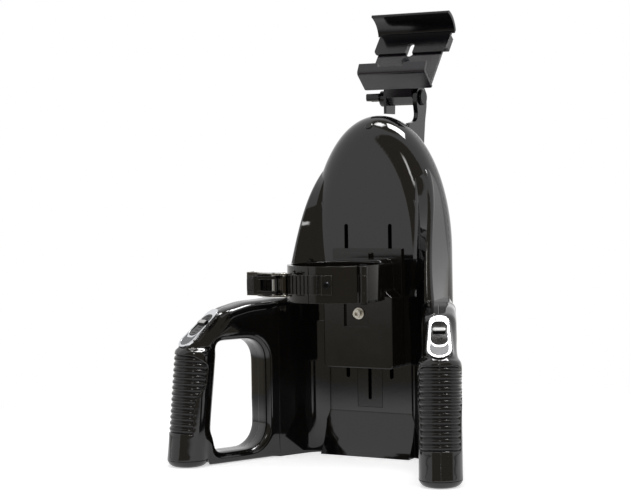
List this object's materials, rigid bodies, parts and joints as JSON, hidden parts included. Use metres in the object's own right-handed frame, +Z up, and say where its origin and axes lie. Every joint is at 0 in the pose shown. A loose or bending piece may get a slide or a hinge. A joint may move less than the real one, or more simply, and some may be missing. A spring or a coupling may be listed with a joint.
{
  "type": "car dryer blower carrier",
  "caption": "Two-handled carrier shell with ratchet collar for a blower barrel, thumb rockers and a tilting phone holder.",
  "frame": {"origin": "flat bottom, middle of the width, 4 mm behind the flat front panel", "axes": "+X to the user's right, -Y towards the user, +Z up"},
  "size_m": [0.325, 0.2832, 0.4702],
  "materials": {
    "shell_black": "gloss",
    "satin_black": "satin",
    "strap_black": "semi-gloss",
    "switch_black": "fine grain",
    "grip_rubber": "matt ribbed",
    "bright_trim": "satin chrome",
    "label_grey": "matt",
    "steel": "zinc plated",
    "black_steel": "blackened"
  },
  "bodies": {
    "shell": {"apex_plug": "satin_black", "arm_screws": "black_steel", "back_shell": "shell_black", "clamp_cheek": "satin_black", "front_shell": "shell_black", "left_bezel": "bright_trim", "left_end_cap": "shell_black", "left_grip_pad": "grip_rubber", "left_handle_inner": "shell_black", "left_handle_outer": "shell_black", "left_handle_screws": "steel", "left_label_plate": "label_grey", "left_rocker_pin": "steel", "left_spring": "steel", "left_switch": "switch_black", "phone_arm": "satin_black", "right_bezel": "bright_trim", "right_end_cap": "shell_black", "right_grip_pad": "grip_rubber", "right_handle_inner": "shell_black", "right_handle_outer": "shell_black", "right_handle_screws": "steel", "right_label_plate": "label_grey", "right_rocker_pin": "steel", "right_spring": "steel", "right_switch": "switch_black", "shell_screws": "steel", "slot_plate": "satin_black", "tilt_bolt": "black_steel"},
    "bracket": {"bracket": "satin_black", "clamp_washer": "steel", "clamp_screw": "steel", "clamp_nut": "steel", "slide_guides": "satin_black", "guide_screws": "steel", "hinge_pin": "black_steel"},
    "gate": {"gate": "satin_black", "ladder_strap": "strap_black", "strap_rivet": "black_steel"},
    "buckle": {"buckle_frame": "steel", "lever_pin": "steel", "pawl_pin": "steel"},
    "lever": {"buckle_lever": "satin_black"},
    "pawl": {"pawl": "steel"},
    "right_rocker": {"right_rocker": "switch_black"},
    "left_rocker": {"left_rocker": "switch_black"},
    "holder": {"holder_base": "satin_black", "plate_bolt": "black_steel", "plate_nut": "black_steel"},
    "jaw": {"upper_jaw": "satin_black"},
    "knob": {"tilt_knob": "satin_black"}
  },
  "joints": [
    {"name": "bracket_slide", "type": "slide", "parent": "shell", "child": "bracket", "axis": [0, 0, 1], "range_m": [-0.025, 0.03]},
    {"name": "gate_hinge", "type": "hinge", "parent": "bracket", "child": "gate", "pos_m": [0.0446, -0.10275, 0.18625], "axis": [0, 0, 1], "range_deg": [0, 80]},
    {"name": "buckle_slide", "type": "slide", "parent": "gate", "child": "buckle", "axis": [-1, 0, 0], "range_m": [0, 0.008]},
    {"name": "lever_hinge", "type": "hinge", "parent": "buckle", "child": "lever", "pos_m": [-0.038, -0.137, 0.1865], "axis": [0, 0, 1], "range_deg": [0, 70]},
    {"name": "pawl_hinge", "type": "hinge", "parent": "buckle", "child": "pawl", "pos_m": [-0.028, -0.1336, 0.1865], "axis": [0, 0, 1], "range_deg": [0, 10], "stiffness_Nm_per_rad": 0.02},
    {"name": "holder_tilt", "type": "hinge", "parent": "shell", "child": "holder", "pos_m": [0, 0.09, 0.3768], "axis": [1, 0, 0], "range_deg": [-35, 40]},
    {"name": "jaw_slide", "type": "slide", "parent": "holder", "child": "jaw", "axis": [0, 0.6428, 0.766], "range_m": [-0.007, 0.012]},
    {"name": "knob_turn", "type": "hinge", "parent": "shell", "child": "knob", "pos_m": [-0.03, 0.09, 0.3768], "axis": [1, 0, 0], "range_deg": [0, 90]},
    {"name": "right_rocker_hinge", "type": "hinge", "parent": "shell", "child": "right_rocker", "pos_m": [0.13231, -0.11862, 0.13908], "axis": [0.9092, 0.4163, 0], "range_deg": [-6, 6], "stiffness_Nm_per_rad": 0.05},
    {"name": "left_rocker_hinge", "type": "hinge", "parent": "shell", "child": "left_rocker", "pos_m": [-0.13231, -0.11862, 0.13908], "axis": [0.9092, -0.4163, 0], "range_deg": [-6, 6], "stiffness_Nm_per_rad": 0.05}
  ]
}
